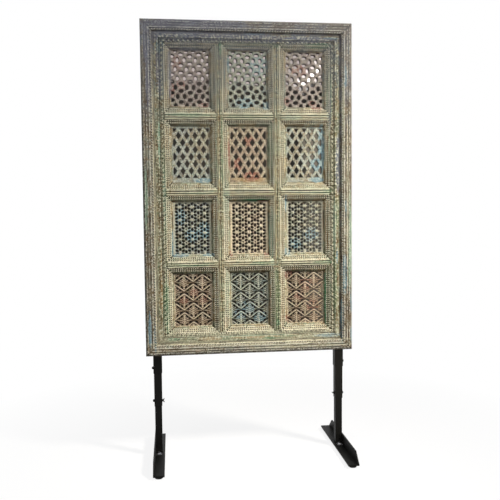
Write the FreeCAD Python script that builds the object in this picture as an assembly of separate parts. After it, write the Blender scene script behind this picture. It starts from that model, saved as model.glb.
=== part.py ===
import FreeCAD, Part
import math
import os

# A carved and pierced wooden panel, three cells wide and four high, on two black steel legs.
# Millimetres. The origin is on the floor, in the middle of the feet's footprint. Z is up, the
# carved front looks along -Y, and X runs to the viewer's right.

# Panel as a whole
panel_width = 1200.0
panel_height = 1885.0
panel_depth = 65.0
panel_bottom = 610.0

# Outer frame member, from the outer edge inward
outer_width = 72.0
edge_chamfer = 2.0
reed_band = 48.0
reed_height = 1.8
reed_count = 3
bead_width = 9.0
bead_recess = 2.5
hollow_depth = 17.0

# Inner border, measured from the panel's outer edge to the cells
border_side = 127.0
border_top = 124.0
border_bottom = 124.0
border_front = 14.0
border_rope_front = 15.0
field_back = 50.0

# Bars between the cells
bar_width = 34.0
bar_front = 16.0
bar_reed_height = 2.2
row_count = 4
column_count = 3
row_height_shares = [0.2531, 0.2560, 0.2453, 0.2456]

# Sloping moulding inside each cell
moulding_width = 38.0
moulding_front = 18.0
moulding_bead = 7.0
moulding_lip_front = 33.0
lattice_front = 38.0
lattice_seat = 9.0
lattice_play = 0.5

# Top row of lattices: interlaced circles
ring_pitch = 50.8
ring_hole_long = 26.5
ring_hole_short = 18.5
ring_hole_out = 30.5
ring_hole_side = 19.5
ring_edge = 3.0
ring_rise = 2.0

# Second row: upright diamonds
mesh_pitch = 47.0
mesh_row_step = 39.8
mesh_hole_width = 29.0
mesh_hole_height = 44.5
mesh_side_edge = 8.0
mesh_top_edge = 11.0

# Third row: six-pointed stars
star_columns_each_side = 5
star_column_step = 17.6
star_period = 74.0
star_hole_length = 15.8
star_hole_width = 10.8
star_upright_length = 16.6
star_upright_width = 11.4
star_pair_out = 15.2
star_pin_radius = 2.2
star_edge = 6.0
star_drop = 44.0

# Bottom row: trellis with palmettes
trellis_width = 104.5
trellis_height = 109.0
trellis_edge = 4.0
trellis_drop = 9.5
smallest_opening = 3.0

# Sheet behind the lattices and its battens
sheet_thickness = 4.0
sheet_play = 0.5
batten_width = 30.0
batten_tongue = 11.5
batten_screw_radius = 2.0
batten_screw_length = 34.0
batten_screw_head_radius = 4.0
batten_screw_head_height = 2.4
batten_screws_tall = 6
batten_screws_wide = 4
screw_play = 0.1

# Square tubes of the legs
leg_inset = 62.0
tube_wall = 2.0
sleeve_size = 50.0
middle_size = 45.0
post_size = 40.0
sleeve_drop = 116.0
sleeve_below_top = 295.0
middle_showing = 194.0
middle_inside = 350.0
post_inside = 300.0

# Mounting plates welded to the sleeves
plate_thickness = 5.0
plate_height = 50.0
plate_reach = 34.0
plate_count = 3
plate_end_gap = 160.0
plate_screw_radius = 2.5
plate_screw_length = 36.0
plate_screw_head_radius = 5.0
plate_screw_head_height = 3.0
plate_screw_spacing = 26.0

# Lock bolts and wing screws
bolt_above_end = 28.0
bolt_radius = 4.0
bolt_head_flats = 13.0
bolt_head_height = 5.3
weld_nut_radius = 8.0
weld_nut_height = 3.6
bolt_tip_gap = 0.3
wing_shank_radius = 3.0
wing_running_play = 0.05
wing_hub_radius = 5.0
wing_hub_height = 4.5
wing_span = 24.0
wing_reach = 9.0
wing_thickness = 3.0
wing_gap = 0.3

# Angle iron feet
foot_front = 362.0
foot_rear = 306.0
angle_leg = 62.0
angle_thickness = 8.0
angle_end_slope = 63.0
glide_height = 15.0
glide_radius = 25.0
glide_flat_radius = 15.0
glide_end_gap = 5.0

# Bright bolt in front of each post
washer_size = 34.0
washer_depth = 30.0
washer_thickness = 3.0
washer_gap = 3.0
foot_bolt_radius = 5.0
foot_bolt_flats = 17.0
foot_bolt_head = 6.4
foot_nut_height = 6.0
foot_bolt_tail = 2.0

# One overrun for every cut
overrun = 5.0

# Places worked out from the sizes above
panel_top = panel_bottom + panel_height
half_width = panel_width / 2
leg_x = half_width - leg_inset
leg_y = (foot_front - foot_rear) / 2
panel_back = leg_y - sleeve_size / 2 - plate_thickness
panel_front = panel_back - panel_depth
cell_width = (panel_width - 2 * border_side - (column_count - 1) * bar_width) / column_count
field_height = panel_height - border_top - border_bottom
cells_height = field_height - (row_count - 1) * bar_width
row_heights = [share * cells_height for share in row_height_shares]
foot_plate_top = glide_height + angle_thickness
sleeve_bottom = panel_bottom - sleeve_drop
sleeve_top = panel_top - sleeve_below_top
middle_bottom = sleeve_bottom - middle_showing

os.makedirs("parts", exist_ok=True)


def save(name, solids):
    """Write one node: a single solid, or a group of alike solids."""
    shape = solids[0] if len(solids) == 1 else Part.makeCompound(solids)
    shape.exportStep("parts/" + name + ".step")


def depth_to_y(depth):
    """A depth behind the panel's front plane, as a Y coordinate."""
    return panel_front + depth


def bumps(start, end, count, height, level):
    """Points of a row of rounded reeds between two places, standing up from a level."""
    points = []
    steps = 5
    for index in range(count):
        for step in range(steps):
            share = step / steps
            place = start + (end - start) * (index + share) / count
            points.append((place, level + height * (1 - math.sin(math.pi * share))))
    points.append((end, level + height))
    return points


def hollow(start, end, top, bottom):
    """Points of a quarter-round hollow that falls from one level to a deeper one."""
    points = []
    steps = 5
    for step in range(steps + 1):
        angle = math.pi / 2 * step / steps
        place = start + (end - start) * (1 - math.cos(angle))
        points.append((place, top + (bottom - top) * math.sin(angle)))
    return points


def stick(near, far):
    """A straight member between two end outlines whose points pair off."""
    near = [FreeCAD.Vector(*place) for place in near]
    far = [FreeCAD.Vector(*place) for place in far]
    outlines = [near, far]
    for index in range(len(near)):
        after = (index + 1) % len(near)
        outlines.append([near[index], near[after], far[after], far[index]])
    shell = Part.makeShell([Part.Face(Part.makePolygon(line + line[:1])) for line in outlines])
    shell.sewShape()
    solid = Part.makeSolid(shell)
    if solid.Volume < 0:
        solid.reverse()
    return solid


def mitred_ring(left, right, bottom, top, widths, profile):
    """Four mitred members round a rectangle.

    widths are the members' widths as left, right, bottom, top. profile takes a width and gives
    (distance in from the outer edge, depth) points. The joints run from outer to inner corners.
    """
    wide = dict(zip(("left", "right", "bottom", "top"), widths))
    members = {}
    for side in ("left", "right"):
        width = wide[side]
        low = []
        high = []
        for inward, depth in profile(width):
            x = left + inward if side == "left" else right - inward
            share = inward / width
            low.append((x, depth_to_y(depth), bottom + share * wide["bottom"]))
            high.append((x, depth_to_y(depth), top - share * wide["top"]))
        members[side] = stick(low, high)
    for side in ("bottom", "top"):
        width = wide[side]
        near = []
        far = []
        for inward, depth in profile(width):
            z = bottom + inward if side == "bottom" else top - inward
            share = inward / width
            near.append((left + share * wide["left"], depth_to_y(depth), z))
            far.append((right - share * wide["right"], depth_to_y(depth), z))
        members[side] = stick(near, far)
    return members


def outer_profile(width):
    """Chamfered edge, reeds, a bead, and a hollow that falls to the border."""
    bead_start = edge_chamfer + reed_band
    bead_end = bead_start + bead_width
    points = [(0, panel_depth), (0, edge_chamfer)]
    points += bumps(edge_chamfer, bead_start, reed_count, reed_height, 0)
    points += bumps(bead_start, bead_end, 1, bead_recess, reed_height)[1:]
    points += hollow(bead_end, width, bead_recess + reed_height, hollow_depth)[1:]
    points.append((width, panel_depth))
    return points


def border_profile(width):
    """Rope bead at the foot of the hollow, a plain band, then the band that is carved."""
    rope_share = 0.16
    step_share = 0.19
    band_share = 0.50
    groove_share = 0.54
    points = [(0, field_back), (0, hollow_depth)]
    points += bumps(0, width * rope_share, 1, hollow_depth - border_rope_front, border_rope_front)[1:]
    points.append((width * step_share, border_front))
    points.append((width * band_share, border_front))
    points.append((width * groove_share, border_front + edge_chamfer))
    points.append((width, bar_front))
    points.append((width, field_back))
    return points


def moulding_profile(width):
    """A bead beside the cell wall, a long slope, and a lip that the lattice sits behind."""
    seat = width - lattice_seat - lattice_play
    points = [(0, field_back), (0, moulding_front + edge_chamfer)]
    points += bumps(0, moulding_bead, 1, edge_chamfer, moulding_front)[1:]
    points.append((width, moulding_lip_front))
    points.append((width, lattice_front))
    points.append((seat, lattice_front))
    points.append((seat, field_back))
    return points


def bar(length):
    """A reeded bar that stands on the origin, its front toward -Y."""
    points = [(0, field_back)]
    points += bumps(0, bar_width, reed_count, bar_reed_height, bar_front)
    points.append((bar_width, field_back))
    places = [FreeCAD.Vector(x - bar_width / 2, depth_to_y(depth), 0) for x, depth in points]
    face = Part.Face(Part.makePolygon(places + places[:1]))
    return face.extrude(FreeCAD.Vector(0, 0, length))


def cell_left(column):
    return -half_width + border_side + column * (cell_width + bar_width)


def cell_top(row):
    return panel_top - border_top - sum(row_heights[:row]) - row * bar_width


def make_frames():
    outer = mitred_ring(-half_width, half_width, panel_bottom, panel_top, [outer_width] * 4, outer_profile)
    inner = mitred_ring(
        -half_width + outer_width,
        half_width - outer_width,
        panel_bottom + outer_width,
        panel_top - outer_width,
        [
            border_side - outer_width,
            border_side - outer_width,
            border_bottom - outer_width,
            border_top - outer_width,
        ],
        border_profile,
    )
    for side, member in outer.items():
        if side in ("left", "right"):
            member = member.cut(plate_screws(side, screw_play))
        save("outer_frame_" + side, [member])
    for side, member in inner.items():
        save("inner_border_" + side, [member.cut(batten_screws(side, screw_play))])


def make_bars():
    for column, name in ((0, "left"), (1, "right")):
        mullion = bar(field_height)
        x = cell_left(column) + cell_width + bar_width / 2
        mullion.translate(FreeCAD.Vector(x, 0, panel_bottom + border_bottom))
        save("mullion_" + name, [mullion])
    for row in range(row_count - 1):
        rails = []
        for column in range(column_count):
            rail = bar(cell_width)
            rail.rotate(FreeCAD.Vector(), FreeCAD.Vector(0, 1, 0), 90)
            z = cell_top(row) - row_heights[row] - bar_width / 2
            rail.translate(FreeCAD.Vector(cell_left(column), 0, z))
            rails.append(rail)
        save("cross_rails_" + str(row + 1), rails)


def oval(x, y, long, short, tilt):
    """An oval opening, its long way turned from X by tilt degrees."""
    ellipse = Part.Ellipse(FreeCAD.Vector(), long / 2, short / 2)
    face = Part.Face(Part.Wire([ellipse.toShape()]))
    face.rotate(FreeCAD.Vector(), FreeCAD.Vector(0, 0, 1), tilt)
    face.translate(FreeCAD.Vector(x, y, 0))
    return face


def diamond(x, y, width, height):
    """An upright diamond opening."""
    corners = [(x - width / 2, y), (x, y - height / 2), (x + width / 2, y), (x, y + height / 2)]
    places = [FreeCAD.Vector(px, py, 0) for px, py in corners]
    return Part.Face(Part.makePolygon(places + places[:1]))


def ring_openings(width, height, column):
    """Four petals between circles that interlace, on a staggered grid."""
    openings = []
    rows = int(height / ring_pitch) + 2
    columns = int(width / ring_pitch) + 2
    for row in range(-rows // 2, rows // 2 + 1):
        for step in range(-columns // 2, columns // 2 + 1):
            if (row + step) % 2 == 0:
                continue
            x = step * ring_pitch
            y = row * ring_pitch + ring_rise
            for side in (-1, 1):
                openings.append(oval(x, y + side * ring_hole_out, ring_hole_long, ring_hole_short, 0))
                openings.append(oval(x + side * ring_hole_side, y, ring_hole_long, ring_hole_short, 90))
    return openings


def mesh_openings(width, height, column):
    """Staggered rows of upright diamonds. The middle column starts with the other row."""
    openings = []
    rows = round(height / mesh_row_step)
    columns = int(width / mesh_pitch) + 2
    first = 0 if column == 1 else 1
    for row in range(rows + 1):
        shift = mesh_pitch / 2 if (row + first) % 2 == 0 else 0
        y = height / 2 - row * mesh_row_step
        for step in range(-columns, columns + 1):
            x = step * mesh_pitch + shift
            openings.append(diamond(x, y, mesh_hole_width, mesh_hole_height))
    return openings


def star_openings(width, height, column):
    """Slots round six-pointed stars, with a small pin hole in each flower between two stars."""
    openings = []
    quarter = star_period / 4
    count = int(height / quarter) + 4
    for line in range(-star_columns_each_side, star_columns_each_side + 1):
        x = line * star_column_step
        kind = abs(line) % 4
        for step in range(-count, count + 1):
            if kind in (1, 3):
                y = (step + 0.5) * quarter - star_drop
                inward = 1 if (kind == 1) == (line > 0) else -1
                upward = 1 if step % 2 == 0 else -1
                tilt = 30 * inward * upward * (1 if (step // 2) % 2 == 0 else -1)
                openings.append(oval(x, y, star_hole_length, star_hole_width, tilt))
            elif kind == 0 and step % 2 == 0:
                y = step * quarter - star_drop
                openings.append(oval(x, y, star_upright_length, star_upright_width, 90))
            elif kind == 2 and step % 4 == 0:
                y = step * quarter - star_drop
                for side in (-1, 1):
                    place = y + side * star_pair_out
                    openings.append(oval(x, place, star_upright_length, star_upright_width, 90))
                pin = y + 2 * quarter
                openings.append(oval(x, pin, 2 * star_pin_radius, 2 * star_pin_radius, 0))
    return openings


def trellis_openings(width, height, column):
    """Openings round the palmette in each diamond of a trellis."""
    # Each opening: across, up, length and breadth as shares of the trellis, and its tilt
    opening_shares = [
        (0.138, 0.222, 0.172, 0.105, -46),
        (0.285, 0.106, 0.140, 0.100, -38),
        (0.338, -0.080, 0.262, 0.104, 40),
        (0.118, -0.248, 0.165, 0.098, 42),
    ]
    openings = []
    rows = int(height / trellis_height) + 2
    columns = int(width / trellis_width) + 2
    for row in range(-2 * rows, 2 * rows + 1):
        for step in range(-2 * columns, 2 * columns + 1):
            if (row + step) % 2 == 0:
                continue
            x = step * trellis_width / 2
            y = row * trellis_height / 2 - trellis_drop
            for across, up, long, short, tilt in opening_shares:
                for side in (-1, 1):
                    openings.append(
                        oval(
                            x + side * across * trellis_width,
                            y + up * trellis_height,
                            long * trellis_width,
                            short * trellis_width,
                            side * tilt,
                        )
                    )
    return openings


def pierced_plate(width, height, field, openings):
    """A plate with openings, each kept inside the field left, right, bottom, top."""
    left, right, bottom, top = field
    corner = FreeCAD.Vector(left, bottom, 0)
    window = Part.makePlane(right - left, top - bottom, corner)
    wires = []
    for opening in openings:
        box = opening.BoundBox
        if box.XMax <= left or box.XMin >= right or box.YMax <= bottom or box.YMin >= top:
            continue
        inside = box.XMin > left and box.XMax < right and box.YMin > bottom and box.YMax < top
        kept = [opening] if inside else opening.common(window).Faces
        wires += [face.OuterWire for face in kept if face.Area > smallest_opening**2]
    rim = Part.makePlane(width, height, FreeCAD.Vector(-width / 2, -height / 2, 0)).OuterWire
    face = Part.makeFace(Part.makeCompound([rim] + wires), "Part::FaceMakerBullseye")
    return face.extrude(FreeCAD.Vector(0, 0, field_back - lattice_front))


def make_cells():
    patterns = [ring_openings, mesh_openings, star_openings, trellis_openings]
    side_edges = [ring_edge, mesh_side_edge, star_edge, trellis_edge]
    top_edges = [ring_edge, mesh_top_edge, star_edge, trellis_edge]
    for row, row_height in enumerate(row_heights):
        for column in range(column_count):
            name = "r" + str(row + 1) + "c" + str(column + 1)
            left = cell_left(column)
            top = cell_top(row)
            ring = mitred_ring(
                left, left + cell_width, top - row_height, top, [moulding_width] * 4, moulding_profile
            )
            save("cell_moulding_" + name, list(ring.values()))

            sight_width = cell_width - 2 * moulding_width
            sight_height = row_height - 2 * moulding_width
            high = sight_height / 2 - top_edges[row]
            side = sight_width / 2 - side_edges[row]
            low = -sight_height / 2 + top_edges[row]
            if row == 1:
                low = high - int((sight_height - mesh_top_edge) / mesh_row_step) * mesh_row_step
            openings = patterns[row](2 * side, high - low, column)
            shift = (high + low) / 2 if row == 1 else 0
            for opening in openings:
                opening.translate(FreeCAD.Vector(0, shift, 0))
            plate = pierced_plate(
                sight_width + 2 * lattice_seat,
                sight_height + 2 * lattice_seat,
                (-side, side, low, high),
                openings,
            )
            plate.rotate(FreeCAD.Vector(), FreeCAD.Vector(1, 0, 0), 90)
            middle = FreeCAD.Vector(left + cell_width / 2, depth_to_y(field_back), top - row_height / 2)
            plate.translate(middle)
            save("lattice_" + name, [plate])


def box(x_range, y_range, z_range):
    """A block between two places on each axis, given in either order."""
    spans = [sorted(span) for span in (x_range, y_range, z_range)]
    sizes = [high - low for low, high in spans]
    corner = FreeCAD.Vector(*[low for low, high in spans])
    return Part.makeBox(*sizes, corner)


def make_sheet():
    inset = outer_width + batten_tongue + sheet_play
    back = depth_to_y(field_back)
    sheet = box(
        (-half_width + inset, half_width - inset),
        (back, back + sheet_thickness),
        (panel_bottom + inset, panel_top - inset),
    )
    save("back_sheet", [sheet])


def batten_screw_places(side):
    """Where one batten's screws stand, as X and Z."""
    inset = outer_width + batten_tongue / 2
    end = outer_width + batten_width + batten_tongue
    if side in ("left", "right"):
        x = half_width - inset if side == "right" else -half_width + inset
        span = panel_height - 2 * end
        count = batten_screws_tall
        return [(x, panel_bottom + end + span * index / (count - 1)) for index in range(count)]
    z = panel_top - inset if side == "top" else panel_bottom + inset
    span = panel_width - 2 * end
    count = batten_screws_wide
    return [(-half_width + end + span * index / (count - 1), z) for index in range(count)]


def screw(x, y, z, radius, length, head_radius, head_height, play):
    """A round-headed wood screw that enters along -Y at the given place."""
    inward = FreeCAD.Vector(0, -1, 0)
    shank = Part.makeCylinder(radius + play, length, FreeCAD.Vector(x, y, z), inward)
    if play:
        return shank
    head = Part.makeCone(
        head_radius, head_radius - head_height / 2, head_height, FreeCAD.Vector(x, y, z), -inward
    )
    return shank.fuse(head).removeSplitter()


def batten_screws(side, play):
    screws = []
    for x, z in batten_screw_places(side):
        screws.append(
            screw(
                x,
                panel_back,
                z,
                batten_screw_radius,
                batten_screw_length,
                batten_screw_head_radius,
                batten_screw_head_height,
                play,
            )
        )
    return screws


def make_battens():
    """Four rebated strips: each laps the sheet's edge and stands on the border beyond it."""
    edge = outer_width
    near = panel_back
    far = depth_to_y(field_back)
    rest = far + sheet_thickness
    wide = half_width - edge
    tall = panel_height - 2 * edge
    battens = []
    for side in ("bottom", "top"):
        sign = 1 if side == "bottom" else -1
        z = panel_bottom + edge if side == "bottom" else panel_top - edge
        flat = box((-wide, wide), (rest, near), (z, z + sign * batten_width))
        tongue = box((-wide, wide), (far, rest), (z, z + sign * batten_tongue))
        strip = flat.fuse(tongue).removeSplitter()
        battens.append(strip.cut(batten_screws(side, screw_play)))
    for side in ("left", "right"):
        sign = 1 if side == "left" else -1
        x = -wide if side == "left" else wide
        low = panel_bottom + edge + batten_width
        high = low + tall - 2 * batten_width
        flat = box((x, x + sign * batten_width), (rest, near), (low, high))
        tongue = box((x, x + sign * batten_tongue), (far, rest), (low, high))
        strip = flat.fuse(tongue).removeSplitter()
        battens.append(strip.cut(batten_screws(side, screw_play)))
    save("sheet_battens", battens)
    screws = []
    for side in ("left", "right", "bottom", "top"):
        screws += batten_screws(side, 0)
    save("batten_screws", screws)


def tube(size, low, high):
    """An upright square tube on the leg's axis at X zero."""
    outside = box((-size / 2, size / 2), (leg_y - size / 2, leg_y + size / 2), (low, high))
    bore = size - 2 * tube_wall
    inside = box(
        (-bore / 2, bore / 2), (leg_y - bore / 2, leg_y + bore / 2), (low - overrun, high + overrun)
    )
    return outside.cut(inside)


def rod(radius, start, end, z):
    """A round rod along X between two places, on the leg's middle plane."""
    length = abs(end - start)
    direction = FreeCAD.Vector(1 if end > start else -1, 0, 0)
    return Part.makeCylinder(radius, length, FreeCAD.Vector(start, leg_y, z), direction)


def hexagon(flats, height):
    """A hexagonal block that stands on the origin, as wide across its flats as given."""
    radius = flats / math.sqrt(3)
    places = []
    for corner in range(6):
        angle = math.radians(60 * corner)
        places.append(FreeCAD.Vector(radius * math.cos(angle), radius * math.sin(angle), 0))
    face = Part.Face(Part.makePolygon(places + places[:1]))
    return face.extrude(FreeCAD.Vector(0, 0, height))


def tube_with_nuts(size, low, high, bolt_z, sides):
    """A tube with weld nuts at a height, one for each side and bore radius given."""
    body = tube(size, low, high)
    for sign, bore in sides:
        face = sign * size / 2
        body = body.fuse(rod(weld_nut_radius, face, face + sign * weld_nut_height, bolt_z))
        inside = sign * (size / 2 - tube_wall - overrun)
        outside = face + sign * (weld_nut_height + overrun)
        body = body.cut(rod(bore, inside, outside, bolt_z))
    return body.removeSplitter()


def lock_bolt(size, inner_size, z, sign):
    """A hexagon-headed bolt in a weld nut. Its tip stops just short of the tube inside."""
    seat = sign * (size / 2 + weld_nut_height)
    shank = rod(bolt_radius, sign * (inner_size / 2 + bolt_tip_gap), seat, z)
    head = hexagon(bolt_head_flats, bolt_head_height)
    head.rotate(FreeCAD.Vector(), FreeCAD.Vector(0, 1, 0), sign * 90)
    head.translate(FreeCAD.Vector(seat, leg_y, z))
    return shank.fuse(head).removeSplitter()


def wing_screw(z, sign, upright):
    """A screw with two wings on its hub, in the weld nut on the leg's inner side."""
    nut = middle_size / 2 + weld_nut_height
    tip = sign * (post_size / 2 + bolt_tip_gap)
    seat = sign * (nut + wing_gap)
    crown = seat + sign * wing_hub_height
    shape = rod(wing_shank_radius, tip, seat, z)
    shape = shape.fuse(rod(wing_hub_radius, seat, crown, z))
    outline_shares = [(0, 0.3), (0.62, 1.0), (1.0, 1.0), (1.0, 0.55), (0.5, 0)]
    for turn in (1, -1):
        places = []
        for out, across in outline_shares:
            x = seat + sign * wing_reach * out
            places.append(FreeCAD.Vector(x, leg_y - wing_thickness / 2, z + turn * wing_span / 2 * across))
        places.append(FreeCAD.Vector(seat, leg_y - wing_thickness / 2, z))
        face = Part.Face(Part.makePolygon(places + places[:1]))
        shape = shape.fuse(face.extrude(FreeCAD.Vector(0, wing_thickness, 0)))
    shape = shape.removeSplitter()
    if not upright:
        shape.rotate(FreeCAD.Vector(seat, leg_y, z), FreeCAD.Vector(1, 0, 0), 90)
    return shape


def sleeve_plate_levels():
    """Middle heights of the mounting plates on a sleeve."""
    low = panel_bottom + plate_end_gap
    high = sleeve_top - plate_height
    return [low + (high - low) * index / (plate_count - 1) for index in range(plate_count)]


def plate_screws(side, play):
    """The wood screws of one sleeve's plates, in the free part of each plate."""
    sign = 1 if side == "right" else -1
    x = sign * (leg_x + sleeve_size / 2 + plate_reach / 2)
    screws = []
    for level in sleeve_plate_levels():
        for step in (-1, 1):
            screws.append(
                screw(
                    x,
                    panel_back + plate_thickness,
                    level + step * plate_screw_spacing / 2,
                    plate_screw_radius,
                    plate_screw_length,
                    plate_screw_head_radius,
                    plate_screw_head_height,
                    play,
                )
            )
    return screws


def make_sleeves():
    bolt_z = sleeve_bottom + bolt_above_end
    bolts = []
    screws = []
    for side, sign in (("left", -1), ("right", 1)):
        sleeve = tube_with_nuts(
            sleeve_size, sleeve_bottom, sleeve_top, bolt_z, [(sign, bolt_radius + screw_play)]
        )
        sleeve.translate(FreeCAD.Vector(sign * leg_x, 0, 0))
        save("sleeve_" + side, [sleeve])

        plates = []
        inner = sign * (leg_x - sleeve_size / 2)
        outer = sign * (leg_x + sleeve_size / 2 + plate_reach)
        for level in sleeve_plate_levels():
            plate = box(
                (inner, outer),
                (panel_back, panel_back + plate_thickness),
                (level - plate_height / 2, level + plate_height / 2),
            )
            plates.append(plate.cut(plate_screws(side, screw_play)))
        save("mounting_plates_" + side, plates)
        screws += plate_screws(side, 0)

        bolt = lock_bolt(sleeve_size, middle_size, bolt_z, sign)
        bolt.translate(FreeCAD.Vector(sign * leg_x, 0, 0))
        bolts.append(bolt)
    save("plate_screws", screws)
    save("sleeve_lock_bolts", bolts)


def make_middles():
    bolt_z = middle_bottom + bolt_above_end
    for side, sign in (("left", -1), ("right", 1)):
        nuts = [(sign, bolt_radius + screw_play), (-sign, wing_shank_radius + wing_running_play)]
        middle = tube_with_nuts(
            middle_size, middle_bottom, sleeve_bottom + middle_inside, bolt_z, nuts
        )
        bolt = lock_bolt(middle_size, post_size, bolt_z, sign)
        wing = wing_screw(bolt_z, -sign, side == "left")
        for name, shape in (("middle_tube_", middle), ("middle_lock_bolt_", bolt), ("wing_screw_", wing)):
            shape.translate(FreeCAD.Vector(sign * leg_x, 0, 0))
            save(name + side, [shape])


def foot_angle():
    """An angle iron lying front to back, its upright leg toward +X and cut on a slope."""
    outer = post_size / 2 + angle_thickness
    front = leg_y - foot_front
    rear = leg_y + foot_rear
    flat = box((outer - angle_leg, outer), (front, rear), (glide_height, foot_plate_top))
    top = glide_height + angle_leg
    outline = [
        (front, glide_height),
        (rear, glide_height),
        (rear, foot_plate_top),
        (rear - angle_end_slope, top),
        (front + angle_end_slope, top),
        (front, foot_plate_top),
    ]
    places = [FreeCAD.Vector(outer - angle_thickness, y, z) for y, z in outline]
    upright = Part.Face(Part.makePolygon(places + places[:1])).extrude(FreeCAD.Vector(angle_thickness, 0, 0))
    hole = Part.makeCylinder(
        foot_bolt_radius + screw_play,
        angle_thickness + 2 * overrun,
        FreeCAD.Vector(0, foot_bolt_y(), glide_height - overrun),
    )
    return flat.fuse(upright).removeSplitter().cut(hole)


def foot_bolt_y():
    return leg_y - post_size / 2 - washer_gap - washer_depth / 2


def foot_bolt():
    """A bright bolt with a square washer above the foot and a nut under it."""
    nut_low = glide_height - foot_nut_height
    head_low = foot_plate_top + washer_thickness
    shank_low = nut_low - foot_bolt_tail
    bore = Part.makeCylinder(foot_bolt_radius + screw_play, head_low + overrun)
    washer = box(
        (-washer_size / 2, washer_size / 2),
        (-washer_depth / 2, washer_depth / 2),
        (foot_plate_top, head_low),
    )
    shank = Part.makeCylinder(foot_bolt_radius, head_low - shank_low, FreeCAD.Vector(0, 0, shank_low))
    head = hexagon(foot_bolt_flats, foot_bolt_head)
    head.translate(FreeCAD.Vector(0, 0, head_low))
    nut = hexagon(foot_bolt_flats, foot_nut_height)
    nut.translate(FreeCAD.Vector(0, 0, nut_low))
    pieces = [washer.cut(bore), shank.fuse(head).removeSplitter(), nut.cut(bore)]
    for piece in pieces:
        piece.translate(FreeCAD.Vector(0, foot_bolt_y(), 0))
    return pieces


def glide(y):
    """A domed glide: flat underneath, with a rounded edge."""
    middle = post_size / 2 + angle_thickness - angle_leg / 2
    profile = [(0, 0), (glide_flat_radius, 0)]
    steps = 6
    rise = glide_radius - glide_flat_radius
    for step in range(1, steps + 1):
        angle = math.pi / 2 * step / steps
        profile.append((glide_flat_radius + rise * math.sin(angle), rise * (1 - math.cos(angle))))
    profile.append((glide_radius, glide_height))
    profile.append((0, glide_height))
    places = [FreeCAD.Vector(radius, 0, z) for radius, z in profile]
    face = Part.Face(Part.makePolygon(places + places[:1]))
    shape = face.revolve(FreeCAD.Vector(), FreeCAD.Vector(0, 0, 1), 360)
    shape.translate(FreeCAD.Vector(middle, y, 0))
    return shape


def make_feet():
    inset = glide_radius + glide_end_gap
    for side, sign in (("left", -1), ("right", 1)):
        post = tube(post_size, foot_plate_top, middle_bottom + post_inside)
        glides = [glide(leg_y - foot_front + inset), glide(leg_y + foot_rear - inset)]
        pieces = {
            "post_": [post],
            "foot_angle_": [foot_angle()],
            "foot_bolt_": foot_bolt(),
            "glides_": glides,
        }
        for name, shapes in pieces.items():
            placed = []
            for shape in shapes:
                if sign < 0:
                    shape = shape.mirror(FreeCAD.Vector(), FreeCAD.Vector(1, 0, 0))
                shape.translate(FreeCAD.Vector(sign * leg_x, 0, 0))
                placed.append(shape)
            save(name + side, placed)


make_frames()
make_bars()
make_cells()
make_sheet()
make_battens()
make_sleeves()
make_middles()
make_feet()
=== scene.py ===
import math

import bmesh
import bpy
import numpy as np
from mathutils import Matrix, Vector
from mathutils.bvhtree import BVHTree
from mathutils.geometry import delaunay_2d_cdt
from mathutils.kdtree import KDTree


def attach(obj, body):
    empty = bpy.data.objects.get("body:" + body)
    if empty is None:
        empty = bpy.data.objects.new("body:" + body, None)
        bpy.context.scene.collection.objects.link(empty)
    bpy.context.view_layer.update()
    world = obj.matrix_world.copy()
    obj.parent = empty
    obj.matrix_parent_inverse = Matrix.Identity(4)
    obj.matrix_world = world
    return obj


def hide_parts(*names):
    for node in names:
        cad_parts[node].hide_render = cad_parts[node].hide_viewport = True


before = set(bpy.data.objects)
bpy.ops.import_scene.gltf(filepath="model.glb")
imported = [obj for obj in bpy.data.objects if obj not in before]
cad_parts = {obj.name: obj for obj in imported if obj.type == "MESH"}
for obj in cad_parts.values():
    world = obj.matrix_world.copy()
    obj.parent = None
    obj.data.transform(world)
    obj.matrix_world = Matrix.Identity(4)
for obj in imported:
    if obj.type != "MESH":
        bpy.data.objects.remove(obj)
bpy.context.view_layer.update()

# Camera.
# It stands left of the panel's middle at about eye height, and looks a little to the right and down.
camera_place = Vector((-0.4446, -3.7548, 1.4404))
camera_yaw, camera_pitch, camera_roll = 0.1199, 0.0628, -0.0102
ahead = Vector((
    math.sin(camera_yaw) * math.cos(camera_pitch),
    math.cos(camera_yaw) * math.cos(camera_pitch),
    -math.sin(camera_pitch),
))
level = Vector((math.cos(camera_yaw), -math.sin(camera_yaw), 0))
upright = level.cross(ahead)
right = math.cos(camera_roll) * level + math.sin(camera_roll) * upright
up = math.cos(camera_roll) * upright - math.sin(camera_roll) * level
camera_data = bpy.data.cameras.new("camera")
camera_data.lens = 46.8
camera_data.sensor_width = 36
camera = bpy.data.objects.new("camera", camera_data)
camera.matrix_world = Matrix((
    (right.x, up.x, -ahead.x, camera_place.x),
    (right.y, up.y, -ahead.y, camera_place.y),
    (right.z, up.z, -ahead.z, camera_place.z),
    (0, 0, 0, 1),
))
bpy.context.scene.collection.objects.link(camera)
bpy.context.scene.camera = camera
bpy.context.scene.view_settings.view_transform = "Standard"


# Room.
# A white surround, a pale floor that keeps a soft shadow, a lamp high on the right with two weak
# ones for its shadows, and pale cards and a bright strip that only reflections show.
def linear(colour):
    """A hex sRGB colour as linear red, green, blue and an alpha of one."""
    channels = [int(colour[i:i + 2], 16) / 255 for i in (1, 3, 5)]
    return tuple(c / 12.92 if c <= 0.04045 else ((c + 0.055) / 1.055) ** 2.4 for c in channels) + (1.0,)


def add(tree, kind, inputs=None, **settings):
    """Add a node with its own settings, its inputs given as values or as sockets to link."""
    node = tree.nodes.new(kind)
    for key, value in settings.items():
        setattr(node, key, value)
    for key, value in (inputs or {}).items():
        if isinstance(value, bpy.types.NodeSocket):
            tree.links.new(value, node.inputs[key])
        else:
            node.inputs[key].default_value = value
    return node


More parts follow.
